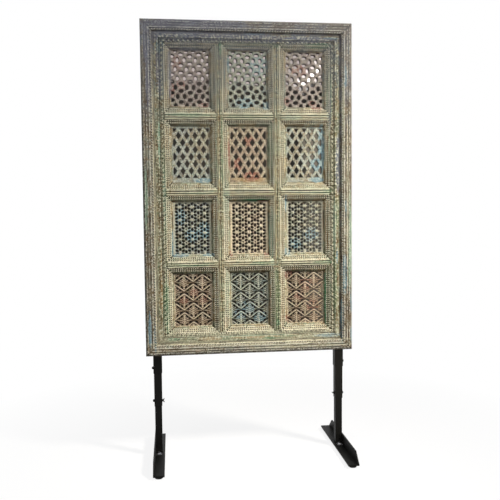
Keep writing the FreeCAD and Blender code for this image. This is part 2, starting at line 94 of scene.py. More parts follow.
def seen_directly(tree, path):
    """One for rays from the camera, from gloss and through glass, zero for light that falls on things."""
    seen = path.outputs["Is Camera Ray"]
    for kind in ("Is Glossy Ray", "Is Transmission Ray"):
        seen = add(tree, "ShaderNodeMath", {0: seen, 1: path.outputs[kind]}, operation="MAXIMUM").outputs[0]
    return seen


def blank_material(name):
    """A new material and its emptied node tree."""
    material = bpy.data.materials.new(name)
    material.use_nodes = True
    material.node_tree.nodes.clear()
    return material, material.node_tree


world = bpy.data.worlds.new("white_surround")
bpy.context.scene.world = world
world.use_nodes = True
tree = world.node_tree
tree.nodes.clear()
path = add(tree, "ShaderNodeLightPath")
strength = add(tree, "ShaderNodeMapRange", {"Value": seen_directly(tree, path), "To Min": 0.2, "To Max": 1.0})
sky = add(tree, "ShaderNodeBackground", {"Color": linear("#ffffff"), "Strength": strength.outputs[0]})
add(tree, "ShaderNodeOutputWorld", {"Surface": sky.outputs[0]})

floor_mesh = bpy.data.meshes.new("floor")
floor_reach = 40
floor_mesh.from_pydata(
    [
        (-floor_reach, -floor_reach, 0), (floor_reach, -floor_reach, 0), (floor_reach, floor_reach, 0),
        (-floor_reach, floor_reach, 0),
    ],
    [],
    [(0, 1, 2, 3)],
)
floor = bpy.data.objects.new("floor", floor_mesh)
bpy.context.scene.collection.objects.link(floor)
floor_paint, tree = blank_material("pale_studio_floor")
path = add(tree, "ShaderNodeLightPath")
pale = add(
    tree, "ShaderNodeMix", {0: path.outputs["Is Camera Ray"], 6: linear("#3c3c3a"), 7: linear("#efefee")},
    data_type="RGBA",
)
matt = add(tree, "ShaderNodeBsdfDiffuse", {"Color": pale.outputs[2]})
white = add(tree, "ShaderNodeEmission", {"Color": linear("#ffffff"), "Strength": 1.0})
spot = add(tree, "ShaderNodeTexCoord")
far = add(tree, "ShaderNodeVectorMath", {0: spot.outputs["Object"]}, operation="LENGTH")
fade = add(
    tree, "ShaderNodeMapRange",
    {"Value": far.outputs["Value"], "From Min": 0.5, "From Max": 2.2, "To Min": 0.86, "To Max": 1.0},
)
share = add(tree, "ShaderNodeMath", {0: seen_directly(tree, path), 1: fade.outputs[0]}, operation="MULTIPLY")
both = add(tree, "ShaderNodeMixShader", {0: share.outputs[0], 1: matt.outputs[0], 2: white.outputs[0]})
add(tree, "ShaderNodeOutputMaterial", {"Surface": both.outputs[0]})
floor_mesh.materials.append(floor_paint)


def lamp(name, place, aim, width, height, radiance, colour, along=(1, 0, 0)):
    """A rectangular lamp of even radiance that faces a point, its width lying along a direction."""
    data = bpy.data.lights.new(name, "AREA")
    data.shape = "RECTANGLE"
    data.size = width
    data.size_y = height
    data.energy = radiance * math.pi * width * height
    data.color = linear(colour)[:3]
    lit = bpy.data.objects.new(name, data)
    back = (Vector(place) - Vector(aim)).normalized()
    side = (Vector(along) - Vector(along).dot(back) * back).normalized()
    lit.matrix_world = Matrix.Translation(place) @ Matrix(
        (side, back.cross(side), back)
    ).transposed().to_4x4()
    lit.visible_camera = False
    bpy.context.scene.collection.objects.link(lit)
    return lit


key = lamp("lamp_high_right", (2.74, -2.07, 3.806), (-0.6, 0, -0.02), 0.7, 0.7, 29, "#fff9ef")
key.data.spread = math.radians(60)
key.visible_glossy = False
fill = lamp("lamp_behind", (-2.6, 3.0, 2.8), (0, 0, 1.3), 1.4, 1.4, 4, "#f3f6ff")
fill.visible_glossy = False
side_fill = lamp("lamp_soft_left", (-2.6, -2.9, 3.4), (0, 0, 1.5), 1.5, 1.5, 6, "#eef3ff")
side_fill.visible_glossy = False
for name, place, aim, width, height, radiance, colour, along in (
    ("card_above", (0.32, -2.62, 3.04), (0.32, -1, 2.39), 1.8, 0.78, 21, "#fbeee6", (1, 0, 0)),
    ("card_right", (1.305, -2.62, 1.2), (1.145, -1, 1.2), 0.86, 2.24, 10, "#f6e6c8", (1, 0, 0)),
    ("card_warm", (0.2, -2.63, 2.2), (0.2, -1, 1.9), 1.1, 0.92, 1.1, "#f0cda8", (1, 0, 0)),
    ("lamp_glare", (0.86, -2.3, 2.666), (0.365, -0.02, 2.2), 0.25, 0.05, 200, "#fff8f0", (0.734, 0, 0.68)),
    (
        "lamp_glare_halo", (0.86, -2.31, 2.666), (0.365, -0.02, 2.2), 0.36, 0.16, 22, "#fff8f0",
        (0.734, 0, 0.68),
    ),
):
    mirrored = lamp(name, place, aim, width, height, radiance, colour, along)
    mirrored.visible_diffuse = False


# Outer frame.
# Four planks of hardwood, mitred at the corners, with three worn reeds and a bead run along them
# and a hollow that falls to the border. Old paint is rubbed back to the grain.
panel_left, panel_right, panel_low = -600, 600, 610
panel_box = (panel_left, panel_right, panel_low, 2495)
panel_front = -67
outer_width = 72
back_depth = 65


def soft_noise(a, b, size, seed):
    """Smooth noise from -1 to 1 whose lumps are about size millimetres across."""
    table = np.random.default_rng(seed).uniform(-1, 1, (64, 64))
    p, q = a / size, b / size
    i, j = np.floor(p).astype(int), np.floor(q).astype(int)
    u, v = p - i, q - j
    u, v = u * u * (3 - 2 * u), v * v * (3 - 2 * v)
    low = table[i % 64, j % 64] * (1 - u) + table[(i + 1) % 64, j % 64] * u
    high = table[i % 64, (j + 1) % 64] * (1 - u) + table[(i + 1) % 64, (j + 1) % 64] * u
    return low * (1 - v) + high * v


# Where other paint, stains, painted light and painted shade lie on the panel: X, Z and half sizes in
# millimetres
paint_left = {
    "emerald": [
        (-474, 880, 13, 130), (-440, 702, 34, 7), (396, 2368, 66, 15), (163, 778, 11, 20),
        (110, 692, 34, 8), (-186, 1750, 3, 190), (-147, 1660, 3, 90), (448, 900, 7, 150), (38, 1492, 55, 9),
        (-330, 1126, 90, 9), (-155, 2352, 10, 42), (425, 1542, 52, 10), (-330, 1972, 110, 12),
        (60, 1126, 60, 8), (430, 1128, 56, 9), (-492, 2350, 20, 40), (470, 1800, 3, 90),
    ],
    "blue": [
        (567, 1440, 8, 48), (556, 1060, 13, 100), (542, 780, 8, 130), (594, 890, 4, 60),
        (-536, 1010, 9, 62), (-575, 760, 8, 100), (-545, 720, 6, 90), (514, 1160, 6, 42),
        (460, 697, 70, 11), (30, 2424, 62, 6), (476, 2409, 46, 6), (560, 2200, 8, 60), (-130, 2240, 4, 70),
        (594, 700, 4, 50), (-110, 2260, 8, 40), (-17, 2046, 50, 30), (103, 2026, 16, 26),
        (60, 2250, 50, 50), (-260, 1606, 46, 12), (425, 1775, 16, 140), (392, 1695, 28, 34),
        (400, 1606, 40, 14), (-436, 1240, 12, 70), (-400, 1182, 50, 12), (-230, 1182, 34, 10),
        (-390, 1400, 26, 40), (-265, 1320, 40, 44), (-330, 1290, 36, 36), (215, 1470, 8, 50),
        (222, 1190, 18, 22), (365, 1290, 36, 36), (270, 1240, 30, 30), (-12, 872, 40, 34),
        (-60, 832, 34, 26), (58, 817, 40, 28),
    ],
    "mint": [
        (-480, 1500, 8, 160), (-505, 1820, 7, 120), (-130, 1500, 16, 120), (130, 1250, 14, 150),
        (330, 1545, 110, 14), (-480, 2180, 9, 90), (500, 1350, 8, 140), (-300, 1545, 90, 12),
        (20, 718, 240, 12), (-130, 980, 12, 110), (470, 2050, 14, 160), (-60, 2352, 120, 10),
        (585, 1250, 12, 260), (-585, 1500, 10, 160), (250, 1960, 60, 10),
    ],
    # Pale patches are painted light on parts that face the lamp: the lower and left hollows and mouldings.
    "pale": [
        (-533, 1300, 8, 900), (0, 676, 560, 8), (-200, 724, 300, 12), (250, 724, 260, 12),
        (548, 1900, 7, 300), (-300, 742, 110, 10), (0, 742, 110, 10), (320, 742, 110, 10),
        (-330, 1140, 90, 10), (300, 1140, 100, 10), (300, 640, 280, 8), (100, 662, 420, 5),
        (-452, 1290, 8, 110), (-136, 1290, 8, 120), (-452, 930, 8, 120), (575, 1500, 7, 400),
    ],
    "brown": [
        (350, 2464, 240, 30), (-572, 950, 26, 380), (584, 1700, 16, 500), (500, 2464, 100, 30),
        (-505, 1300, 12, 700), (486, 1500, 14, 800), (572, 950, 24, 330), (-450, 930, 10, 150),
        (500, 2424, 90, 40), (-330, 1940, 130, 14), (330, 1120, 110, 14), (-140, 2150, 12, 180),
        (0, 1940, 120, 12), (560, 1700, 16, 260), (-450, 1740, 10, 160), (-575, 2100, 14, 200),
    ],
    "moss": [
        (152, 900, 24, 190), (460, 930, 18, 190), (-478, 1500, 12, 220), (-150, 1750, 10, 190),
        (-478, 890, 20, 160), (40, 1500, 80, 12), (420, 1540, 70, 14), (-330, 1130, 110, 12),
        (20, 702, 220, 14), (40, 2362, 180, 16), (-480, 2330, 16, 80), (130, 1760, 12, 170),
        (0, 1960, 110, 14), (-300, 1540, 110, 12), (500, 1000, 10, 200),
    ],
    "slate": [
        (-300, 2462, 280, 34), (-560, 2380, 20, 150), (-330, 2400, 240, 32), (0, 2400, 220, 24),
        (-440, 2200, 12, 130), (-490, 2250, 24, 160), (-330, 2350, 140, 18), (0, 2350, 120, 14),
        (-560, 2150, 12, 120), (330, 2400, 160, 16), (470, 2000, 10, 100), (520, 1700, 12, 160),
    ],
    # Dark patches are painted shade on the frame's bottom and left edges and by the cross bars over the lower
    # rows.
    "painted_shade_patch": [
        (-300, 615, 560, 12), (300, 615, 560, 12), (-595, 1300, 6, 900), (-330, 1108, 120, 9),
        (0, 1108, 120, 9), (330, 1108, 120, 9), (-330, 1548, 110, 8), (0, 1548, 110, 8),
        (330, 1548, 110, 8),
    ],
    "ochre": [
        (-458, 985, 7, 95), (60, 1108, 120, 7), (30, 700, 140, 8), (-505, 1020, 4, 200),
        (452, 1350, 6, 110), (-230, 700, 60, 10), (190, 850, 5, 120), (432, 1360, 6, 60), (8, 1612, 90, 14),
    ],
    "rust": [
        (-376, 2144, 22, 26), (-428, 2109, 14, 40), (-253, 2030, 30, 12), (-400, 2260, 26, 40),
        (400, 2016, 30, 20), (225, 2056, 16, 24), (372, 2046, 24, 14), (300, 2230, 40, 30),
        (-112, 1755, 6, 80), (5, 1830, 26, 30), (20, 1630, 44, 26), (-60, 1700, 20, 40),
        (-113, 1475, 9, 20), (-106, 1185, 10, 18), (100, 1180, 14, 10), (80, 1484, 30, 8),
        (-322, 962, 26, 22), (-382, 922, 24, 22), (-266, 927, 24, 20), (228, 1058, 26, 22),
        (333, 1002, 40, 30), (222, 802, 18, 16), (370, 872, 34, 30), (290, 930, 26, 22),
    ],
}


def carve(name, verts, faces, wear_and_shade, grain, sharp=35):
    """A closed mesh object with wear and shade, grain direction, paint and painted light and shade kept on
    its points.
    """
    mesh = bpy.data.meshes.new(name)
    mesh.from_pydata((verts / 1000).tolist(), [], faces)
    bm = bmesh.new()
    bm.from_mesh(mesh)
    if bm.calc_volume(signed=True) < 0:
        bmesh.ops.reverse_faces(bm, faces=bm.faces)
        bm.to_mesh(mesh)
    bm.free()
    layers = {"wear_and_shade": wear_and_shade, "along": grain[0], "across": grain[1]}
    for paint, places in paint_left.items():
        kept = np.zeros(len(verts))
        for x, z, wide, tall in places:
            far = np.hypot((verts[:, 0] - x) / (wide * 1.5), (verts[:, 2] - z) / (tall * 1.5))
            kept = np.maximum(kept, np.clip(1.5 - 1.5 * far, 0, 1))
        layers[paint] = kept
    for layer, values in layers.items():
        places = mesh.attributes.new(layer, "FLOAT", "POINT").data
        places.foreach_set("value", np.asarray(values, dtype=np.float32))
    mesh.shade_smooth()
    mesh.set_sharp_from_angle(angle=math.radians(sharp))
    piece = bpy.data.objects.new(name, mesh)
    bpy.context.scene.collection.objects.link(piece)
    return piece


def smooth_along(rows, reach, axis):
    """A running mean over reach neighbours each way."""
    if reach < 1:
        return rows
    wide = [(0, 0), (0, 0)]
    wide[axis] = (reach + 1, reach)
    total = np.cumsum(np.pad(rows, wide, mode="reflect", reflect_type="odd"), axis=axis)
    size = rows.shape[axis]
    ahead_part = np.take(total, range(2 * reach + 1, 2 * reach + 1 + size), axis=axis)
    behind_part = np.take(total, range(0, size), axis=axis)
    return (ahead_part - behind_part) / (2 * reach + 1)


def run(name, line, near, far, place, relief, step, back, painted_shade=0.0):
    """A straight carved stick.

    line holds (across, depth) points over its front in millimetres, near and far give where each
    point's run starts and ends, place turns (across, along) into X and Z, and relief(across, along)
    is how far the surface stands out. The last argument is a share taken off the wear, which darkens
    the stick's paint: painted shade.
    """
    across, depth = np.array(line, dtype=float).T
    near, far = near(across), far(across)
    count = max(int((far - near).max() / step), 2) + 1
    share = np.linspace(0, 1, count)[None, :]
    along = near[:, None] + (far - near)[:, None] * share
    wide = np.repeat(across[:, None], count, axis=1)
    deep = depth[:, None] - relief(wide, along)
    # How worn or shaded each point is: high on crests, where paint rubs pale, low in hollows and along the
    # long edges, where dust and painted shade darken it.
    gentle = np.cumsum(np.clip(np.diff(deep, axis=0, prepend=deep[:1]), -0.3, 0.3), axis=0)
    smooth = smooth_along(smooth_along(gentle, 4, 0), max(int(9 / step), 1), 1)
    wear_and_shade = np.clip((smooth - gentle) / 0.45 - painted_shade, -1, 1)
    deep[:, [0, -1]] += 0.9
    wear_and_shade[:, [0, -1]] = -0.9
    for edge in (0, -1):
        wide = np.concatenate([wide, wide[edge:][:1]] if edge else [wide[:1], wide])
        along = np.concatenate([along, along[edge:][:1]] if edge else [along[:1], along])
        deep = np.concatenate(
            [deep, np.full((1, count), back)] if edge else [np.full((1, count), back), deep]
        )
        wear_and_shade = np.concatenate([wear_and_shade, wear_and_shade[:1] * 0] if edge else [wear_and_shade[:1] * 0, wear_and_shade])
    x, z = place(wide, along)
    verts = np.stack([x.ravel(), (panel_front + deep).ravel(), z.ravel()], axis=1)
    rows = len(wide)
    faces = []
    for row in range(rows):
        after = (row + 1) % rows
        for spot in range(count - 1):
            faces.append(
                (row * count + spot, row * count + spot + 1, after * count + spot + 1, after * count + spot)
            )
    faces.append([row * count for row in range(rows)])
    faces.append([row * count + count - 1 for row in range(rows)][::-1])
    return carve(name, verts, faces, wear_and_shade.ravel(), (along.ravel() / 1000, wide.ravel() / 1000))


def frame_side(name, side, box, widths, line, relief, step, back, painted_shade=0.0):
    """One mitred stick of a rectangular frame: box and widths are left, right, bottom, top."""
    left, right_edge, bottom, top = box
    wide = dict(zip(("left", "right", "bottom", "top"), widths))
    if side in ("left", "right"):
        near = lambda across: bottom + across / wide[side] * wide["bottom"]
        far = lambda across: top - across / wide[side] * wide["top"]
        place = lambda across, along: (left + across if side == "left" else right_edge - across, along)
    else:
        near = lambda across: left + across / wide[side] * wide["left"]
        far = lambda across: right_edge - across / wide[side] * wide["right"]
        place = lambda across, along: (along, bottom + across if side == "bottom" else top - across)
    return run(name, line(wide[side]), near, far, place, relief, step, back, painted_shade)


def bumps(start, end, count, height, level, steps=7):
    """Points over a row of rounded reeds that stand up from a level."""
    points = []
    for index in range(count):
        for spot in range(steps):
            share = spot / steps
            place = start + (end - start) * (index + share) / count
            points.append((place, level + height * (1 - math.sin(math.pi * share) ** 0.8)))
    return points + [(end, level + height)]


def outer_line(width):
    points = [(0, 12), (0, 8.6), (0.7, 7), (3.4, 4.2), (6.2, 1.7), (7.4, 0.5)]
    points += bumps(7.4, 50, 3, 1.5, 0.1)[1:]
    points += [(50.8, 3.4), (51.6, 4.6), (54, 5), (57, 5), (59, 4.6)]
    for spot in range(1, 9):
        turn = math.pi / 2 * spot / 8
        points.append((59 + 13 * (1 - math.cos(turn)), 4.6 + 10.6 * math.sin(turn)))
    return points


def outer_relief(worn):
    """Hand-planed unevenness and nicks in the outer edge, with grooves worn or filled by a share."""

    def relief(across, along):
        wave = 0.25 * soft_noise(across, along, 42, 3) + 0.18 * soft_noise(across * 3, along, 13, 4)
        nick = np.clip(soft_noise(across * 0, along, 17, 5) - 0.5, 0, 1) * np.clip(1 - across / 12, 0, 1)
        beside = np.clip(
            np.abs((across - 7.4) / 14.2 % 1 - 0.5) * 2, 0, 1,
        ) ** 5 * (across > 11) * (across < 49)
        fill = beside * np.clip(worn + 0.5 * soft_noise(across, along, 60, 6), 0, 1)
        return np.minimum(wave - 3 * nick - 0.45, 0) * (across < 70) + 1.4 * fill

    return relief


def weathered_wood(
    name, bare, grain_light, coat, upper_coat_painted_light, lime_and_painted_light, dirt_and_shade_tone, cover, lime_amount, grime_and_painted_shade, streaks=1.0,
    painted_light_foot=0.0,
):
    """Old hardwood under worn milk paint.

    The paint is chalky and matt, thick in the hollows and rubbed off the crests, where the grain
    shows pale with lime. Dust and painted shade darken the cuts and hollows, and a bluer coat of
    painted shade and sheen lies over the upper part. Brown stains, a pale bloom, light and dark specks
    and, on request, painted light on the low parts lie over it. Fibres run along each stick, about a
    millimetre apart in the real wood and drawn at three to nine, because finer ones would not show.
    """
    material, tree = blank_material(name)
    wear_and_shade = add(tree, "ShaderNodeAttribute", attribute_name="wear_and_shade").outputs["Fac"]
    along = add(tree, "ShaderNodeAttribute", attribute_name="along")
    across = add(tree, "ShaderNodeAttribute", attribute_name="across")
    spot = add(tree, "ShaderNodeTexCoord")
    stick = add(tree, "ShaderNodeCombineXYZ", {0: across.outputs["Fac"], 1: along.outputs["Fac"]})

    def fibres(across_scale, along_scale):
        """Noise drawn out along the stick."""
        place = add(
            tree, "ShaderNodeMapping", {"Vector": stick.outputs[0], "Scale": (across_scale, along_scale, 1)},
        )
        return add(
            tree, "ShaderNodeTexNoise", {"Vector": place.outputs[0], "Scale": 1.0, "Detail": 3},
        ).outputs["Fac"]

    def lumps(scale):
        """Noise of even lumps over the whole panel."""
        return add(
            tree, "ShaderNodeTexNoise",
            {"Vector": spot.outputs["Object"], "Scale": scale, "Detail": 4, "Roughness": 0.62},
        ).outputs["Fac"]

    def blend(under, over, amount):
        return add(tree, "ShaderNodeMix", {0: amount, 6: under, 7: over}, data_type="RGBA").outputs[2]

    def mask(parts, low, high, top=1.0):
        """A soft-edged mask from a weighted sum of sockets."""
        total = 0.0
        for socket, weight in parts:
            total = add(
                tree, "ShaderNodeMath", {0: socket, 1: weight, 2: total}, operation="MULTIPLY_ADD",
            ).outputs[0]
        ranged = add(
            tree, "ShaderNodeMapRange", {"Value": total, "From Min": low, "From Max": high, "To Max": top},
            interpolation_type="SMOOTHSTEP",
        )
        return ranged.outputs[0]

    fine, broad, crack = fibres(330, 15), fibres(110, 6), fibres(190, 9)
    blotch, tinge, flake, fleck = lumps(9), lumps(27), lumps(60), lumps(140)
    grain = mask([(fine, 0.5), (broad, 0.5)], 0.4, 0.6)
    height = add(tree, "ShaderNodeSeparateXYZ", {0: spot.outputs["Object"]}).outputs[2]
    # Painted shade and sheen: above about 2.1 m the coat turns bluer and mostly darker, for how the light
    # falls there.
    high = mask([(height, 1.0), (blotch, 0.6)], 2.1, 2.8)
    paint = blend(linear(coat), linear(upper_coat_painted_light), high)
    coat_mask = mask(
        [(blotch, 1.1), (broad, 0.6 * streaks), (flake, 1.3 - 0.6 * streaks), (wear_and_shade, -0.12)], 1.24 - cover,
        1.4 - cover,
    )
    colour = blend(blend(linear(bare), linear(grain_light), grain), paint, coat_mask)
    stain = mask([(tinge, 1.0), (fine, 0.25), (high, -0.12)], 0.63, 0.75, 0.42)
    colour = blend(colour, linear("#6a5133"), stain)
    bloom = mask([(tinge, -1.0), (fleck, 0.3)], -0.33, -0.24, 0.4)
    colour = blend(colour, linear("#97a18c"), bloom)
    # Other paints and stains, with pale painted light and dark painted shade, laid over the wood in patches.
    for layer, tint, top in (
        ("brown", "#55432c", 0.42), ("moss", "#587a55", 0.7), ("ochre", "#a3855a", 0.9),
        ("emerald", "#337a52", 0.95), ("blue", "#6d93a0", 0.9),
        ("rust", "#8a4c3c", 0.9), ("mint", "#8fae96", 0.8), ("pale", "#b9b498", 0.85),
        ("slate", "#6f7389", 0.7), ("painted_shade_patch", "#29251d", 0.9),
    ):
        kept = add(tree, "ShaderNodeAttribute", attribute_name=layer).outputs["Fac"]
        left = mask([(kept, 1.0), (flake, 1.1), (broad, 0.6), (fleck, 0.6)], 1.38, 1.72, top)
        colour = blend(colour, linear(tint), left)
    limed = mask(
        [(wear_and_shade, 0.6), (fine, 0.5), (flake, 0.6), (fleck, 0.8)], 1.22 - lime_amount, 1.54 - lime_amount, 0.92,
    )
    colour = blend(colour, linear(lime_and_painted_light), limed)
    glint = mask([(fleck, 1.0), (fine, 0.35)], 0.7, 0.88, 0.55)
    colour = blend(colour, linear(lime_and_painted_light), glint)
    pitted = mask([(fleck, -1.0), (crack, -0.4)], -0.68, -0.54, 0.62)
    colour = blend(colour, linear(dirt_and_shade_tone), pitted)
    # Painted light: below about 0.8 m the paint turns pale, standing in for the stronger light on the low
    # parts.
    foot = mask([(height, -1.0), (flake, 0.3)], -0.72, -0.5, painted_light_foot)
    colour = blend(colour, linear(lime_and_painted_light), foot)
    cracked = mask([(crack, 1.0), (fleck, 0.45), (wear_and_shade, -0.08)], 0.76, 0.86, 0.8 * streaks)
    colour = blend(colour, linear(dirt_and_shade_tone), cracked)
    # The paint darkens in cuts, hollows and at the foot of each boss: dust together with painted shade.
    dirt_and_painted_shade = mask([(wear_and_shade, -1.0), (flake, 0.7), (blotch, 0.4)], 0.6, 1.2, grime_and_painted_shade)
    colour = blend(colour, linear(dirt_and_shade_tone), dirt_and_painted_shade)
    # More of that painted shade and sheen over the upper part.
    upper_painted_light = add(tree, "ShaderNodeMath", {0: high, 1: 0.35}, operation="MULTIPLY")
    colour = blend(colour, linear(upper_coat_painted_light), upper_painted_light.outputs[0])
    rough = add(tree, "ShaderNodeMapRange", {"Value": coat_mask, "To Min": 0.86, "To Max": 0.7})
    grain_height = add(tree, "ShaderNodeMath", {0: fine, 1: fleck}, operation="ADD")
    bump = add(
        tree, "ShaderNodeBump", {"Height": grain_height.outputs[0], "Strength": 0.6, "Distance": 0.0016},
    )
    skin = add(
        tree, "ShaderNodeBsdfPrincipled",
        {
            "Base Color": colour, "Roughness": rough.outputs[0], "Normal": bump.outputs[0],
            "Specular IOR Level": 0.28,
        },
    )
    add(tree, "ShaderNodeOutputMaterial", {"Surface": skin.outputs[0]})
    return material


outer_wood = weathered_wood(
    "hardwood_worn_milk_paint_outer", "#5f4f3a", "#a79b80", "#77796e", "#7d828c", "#cfcdbf", "#241e17",
    0.06, 0.06, 0.45
)
for side, worn in (("left", 1.1), ("right", 0.7), ("bottom", 0.4), ("top", 1.0)):
    plank = frame_side(
        "outer_plank_" + side, side, panel_box, [outer_width] * 4,
        outer_line, outer_relief(worn), 3.5, back_depth,
    )
    plank.data.materials.append(outer_wood)
    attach(plank, "panel")
    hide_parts("outer_frame_" + side)


# Inner border.
# Four narrower sticks set back inside the frame: the foot of the hollow, a plain band, a groove,
# and a band carved with drops, a winding stem between them and small leaves.
border_box = (-528, 528, 682, 2423)
border_widths = [55, 55, 52, 52]
field_back = 50
drop_pitch, drop_inset = 27, 43


def border_line(width):
    """Foot of the hollow, plain band, groove, then the band for carving."""
    points = [(0, 15.2), (2, 15), (4.5, 14.6), (6.5, 14.2), (8, 14)]
    points += [(across, 14) for across in np.linspace(11, 26, 5)]
    points += [(27.2, 14.6), (28.2, 17), (30, 17.4), (31.4, 15.4), (32.4, 14.4)]
    points += [(across, 14.4) for across in np.linspace(34, width, max(int((width - 34) / 1.35), 3))]
    return points


def drop_relief(across, along):
    """Carving of a border stick: a row of drops beside the groove, joined by a winding stem."""
    wander = along + 3 * soft_noise(across * 0, along, 90, 13)
    beside = (wander / drop_pitch) % 1 - 0.5
    band = np.clip((across - 33) / 1.2, 0, 1)
    drop = np.hypot(beside * drop_pitch / 7.5, (across - drop_inset) / 5.6)
    drops = np.sqrt(np.clip(1 - drop**2, 0, 1))
    stem = drop_inset + 6.5 * np.cos(2 * math.pi * wander / drop_pitch)
    ridge = np.sqrt(np.clip(1 - ((across - stem) / 2.6) ** 2, 0, 1))
    leaf = 0.5 + 0.5 * np.cos(2 * math.pi * (wander + 0.9 * np.abs(across - drop_inset)) / (drop_pitch / 3))
    cut = band * (-3.2 + np.maximum(np.maximum(3.6 * drops, 2.8 * ridge), 1.6 * leaf))
    wave = 0.25 * soft_noise(across, along, 35, 11) + 0.22 * soft_noise(across * 2, along, 9, 12) - 0.4
    nibble = 0.8 * np.clip(soft_noise(across, along, 14, 14) - 0.45, 0, 1)
    return np.minimum(cut + wave - nibble * (across < 27), 0.3)


border_wood = weathered_wood(
    "hardwood_worn_green_milk_paint", "#6e5839", "#ab9e78", "#757e60", "#5a6269", "#d0cfb6", "#241f16",
    0.16, 0.06, 0.85, 1.0, 0.3
)
for side in ("left", "right", "bottom", "top"):
    stick = frame_side(
        "border_" + side, side, border_box, border_widths,
        border_line, drop_relief, 2.2, field_back,
    )
    stick.data.materials.append(border_wood)
    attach(stick, "panel")
    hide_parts("inner_border_" + side)


def carving_row_tree(material):
    """Round or slanted bosses set along a path, their crowns toward the front."""
    tree = bpy.data.node_groups.new("carving_row", "GeometryNodeTree")
    face = tree.interface
    face.new_socket("Path", in_out="INPUT", socket_type="NodeSocketGeometry")
    for title, kind, value in (
        ("Pitch", "NodeSocketFloat", 0.01),
        ("Boss size", "NodeSocketVector", (0.004, 0.004, 0.003)),
        ("Slant", "NodeSocketFloat", 0.0),
        ("Round", "NodeSocketInt", 8),
    ):
        socket = face.new_socket(title, in_out="INPUT", socket_type=kind)
        socket.default_value = value
    face.new_socket("Carving", in_out="OUTPUT", socket_type="NodeSocketGeometry")
    given = add(tree, "NodeGroupInput").outputs
    curve = add(tree, "GeometryNodeMeshToCurve", {0: given["Path"]})
    spaced = add(
        tree, "GeometryNodeResampleCurve", {"Curve": curve.outputs[0], "Length": given["Pitch"]},
        mode="LENGTH",
    )
    rings = add(tree, "ShaderNodeMath", {0: given["Round"], 1: 0.75}, operation="MULTIPLY")
    ball = add(
        tree, "GeometryNodeMeshUVSphere",
        {"Segments": given["Round"], "Rings": rings.outputs[0], "Radius": 1.0},
    )
    spot = add(tree, "GeometryNodeInputPosition")
    parts = add(tree, "ShaderNodeSeparateXYZ", {0: spot.outputs[0]})
    # Crowns store a high value and bases a low one, so paint rubs pale on the crowns and darkens at the bases
    # with dust and painted shade.
    crown = add(
        tree, "GeometryNodeStoreNamedAttribute",
        {"Geometry": ball.outputs[0], "Name": "wear_and_shade", 3: parts.outputs[2]}, data_type="FLOAT",
        domain="POINT",
    )
    slanted = add(tree, "ShaderNodeCombineXYZ", {2: given["Slant"]})
    sized = add(tree, "GeometryNodeTransform", {"Geometry": crown.outputs[0], "Scale": given["Boss size"]})
    turned = add(
        tree, "GeometryNodeTransform", {"Geometry": sized.outputs[0], "Rotation": slanted.outputs[0]},
    )
    tangent = add(tree, "GeometryNodeInputTangent")
    first = add(tree, "FunctionNodeAlignEulerToVector", {"Vector": tangent.outputs[0]}, axis="X")
    forward = add(tree, "FunctionNodeInputVector", vector=(0, -1, 0))
    second = add(
        tree, "FunctionNodeAlignEulerToVector",
        {"Rotation": first.outputs[0], "Vector": forward.outputs[0]}, axis="Z", pivot_axis="X",
    )
    placed = add(
        tree, "GeometryNodeInstanceOnPoints",
        {"Points": spaced.outputs[0], "Instance": turned.outputs[0], "Rotation": second.outputs[0]},
    )
    real = add(tree, "GeometryNodeRealizeInstances", {0: placed.outputs[0]})
    smooth = add(tree, "GeometryNodeSetShadeSmooth", {"Geometry": real.outputs[0]})
    finish = add(tree, "GeometryNodeSetMaterial", {"Geometry": smooth.outputs[0], "Material": material})
    add(tree, "NodeGroupOutput", {0: finish.outputs[0]})
    return tree


def carving_row(name, loops, material, pitch, boss, slant=0.0, segments=8):
    """One mesh of bosses along closed or open loops of points, in millimetres."""
    verts, edges = [], []
    for points, closed in loops:
        start = len(verts)
        verts += [Vector(point) / 1000 for point in points]
        edges += [(start + i, start + i + 1) for i in range(len(points) - 1)]
        if closed:
            edges.append((len(verts) - 1, start))
    path = bpy.data.meshes.new(name + "_path")
    path.from_pydata(verts, edges, [])
    maker = bpy.data.objects.new(name + "_maker", path)
    bpy.context.scene.collection.objects.link(maker)
    tree = carving_row_tree(material)
    modifier = maker.modifiers.new("carving_row", "NODES")
    modifier.node_group = tree
    titles = {item.name: item.identifier for item in tree.interface.items_tree}
    modifier[titles["Pitch"]] = pitch / 1000
    modifier[titles["Boss size"]] = [size / 1000 for size in boss]
    modifier[titles["Slant"]] = slant
    modifier[titles["Round"]] = segments
    bpy.context.view_layer.update()
    ready = maker.evaluated_get(bpy.context.evaluated_depsgraph_get())
    mesh = bpy.data.meshes.new_from_object(ready)
    mesh.name = name
    bpy.data.objects.remove(maker)
    piece = bpy.data.objects.new(name, mesh)
    bpy.context.scene.collection.objects.link(piece)
    return piece


def loop(box, inset, depth):
    """The corners of a rectangle set in from a box, at a depth behind the panel's front."""
    left, right_edge, bottom, top = box[0] + inset, box[1] - inset, box[2] + inset, box[3] - inset
    y = panel_front + depth
    return [(left, y, bottom), (right_edge, y, bottom), (right_edge, y, top), (left, y, top)], True


rope_inset, rope_depth, rope_pitch = 56, 3.6, 15
rope = carving_row(
    "outer_rope_bead", [loop(panel_box, rope_inset, rope_depth)],
    outer_wood, rope_pitch, (7.6, 3.2, 2.8), 0.68,
)
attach(rope, "panel")
